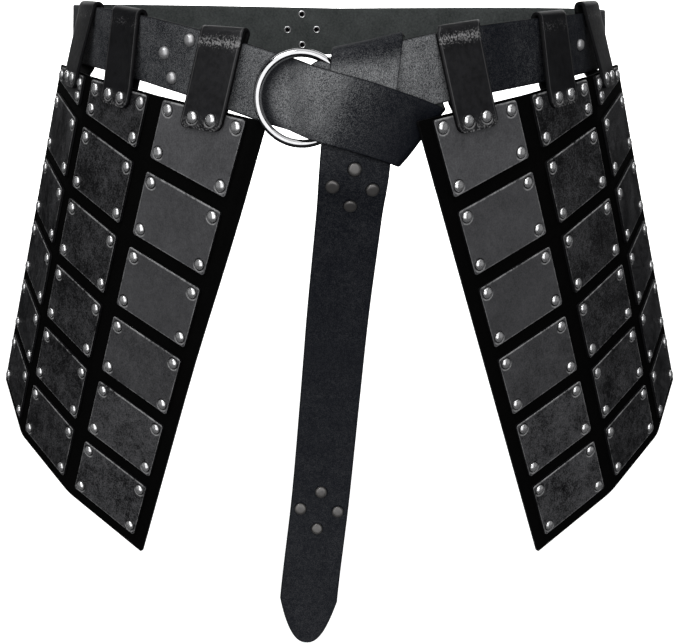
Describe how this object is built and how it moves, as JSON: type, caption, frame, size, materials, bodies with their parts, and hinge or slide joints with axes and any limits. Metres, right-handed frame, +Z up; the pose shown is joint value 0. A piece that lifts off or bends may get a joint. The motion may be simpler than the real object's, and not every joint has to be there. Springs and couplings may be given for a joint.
{
  "type": "leather waist armour",
  "caption": "Leather waist armour: a ring belt, knotted in front with a long hanging tail, carries two flared hip panels of riveted leather plates on looped hangers.",
  "frame": {"origin": "middle of the waist opening, at half the height of the belt", "axes": "+Z up, -Y the front with the ring and the knot, +X the right side seen from the front"},
  "size_m": [0.5722, 0.3298, 0.3987],
  "materials": {
    "strap_leather": "worn dark grey, pebbled",
    "hanger_leather": "satin black, crackled at the fold",
    "panel_leather": "matt black",
    "plate_leather": "worn charcoal, scuffed edges",
    "polished_steel": "polished, nickel plated"
  },
  "bodies": {
    "root": {"belt_strap": "strap_leather", "ring": "polished_steel", "backing_left": "panel_leather", "plate_left_1_1": "plate_leather", "plate_left_1_2": "plate_leather", "plate_left_1_3": "plate_leather", "plate_left_1_4": "plate_leather", "plate_left_1_5": "plate_leather", "plate_left_1_6": "plate_leather", "plate_left_2_1": "plate_leather", "plate_left_2_2": "plate_leather", "plate_left_2_3": "plate_leather", "plate_left_2_4": "plate_leather", "plate_left_2_5": "plate_leather", "plate_left_2_6": "plate_leather", "plate_left_3_1": "plate_leather", "plate_left_3_2": "plate_leather", "plate_left_3_3": "plate_leather", "plate_left_3_4": "plate_leather", "plate_left_3_5": "plate_leather", "plate_left_3_6": "plate_leather", "hanger_left_front": "hanger_leather", "hanger_left_middle": "hanger_leather", "hanger_left_rear": "hanger_leather", "backing_right": "panel_leather", "plate_right_1_1": "plate_leather", "plate_right_1_2": "plate_leather", "plate_right_1_3": "plate_leather", "plate_right_1_4": "plate_leather", "plate_right_1_5": "plate_leather", "plate_right_1_6": "plate_leather", "plate_right_2_1": "plate_leather", "plate_right_2_2": "plate_leather", "plate_right_2_3": "plate_leather", "plate_right_2_4": "plate_leather", "plate_right_2_5": "plate_leather", "plate_right_2_6": "plate_leather", "plate_right_3_1": "plate_leather", "plate_right_3_2": "plate_leather", "plate_right_3_3": "plate_leather", "plate_right_3_4": "plate_leather", "plate_right_3_5": "plate_leather", "plate_right_3_6": "plate_leather", "hanger_right_front": "hanger_leather", "hanger_right_middle": "hanger_leather", "hanger_right_rear": "hanger_leather"}
  },
  "joints": []
}
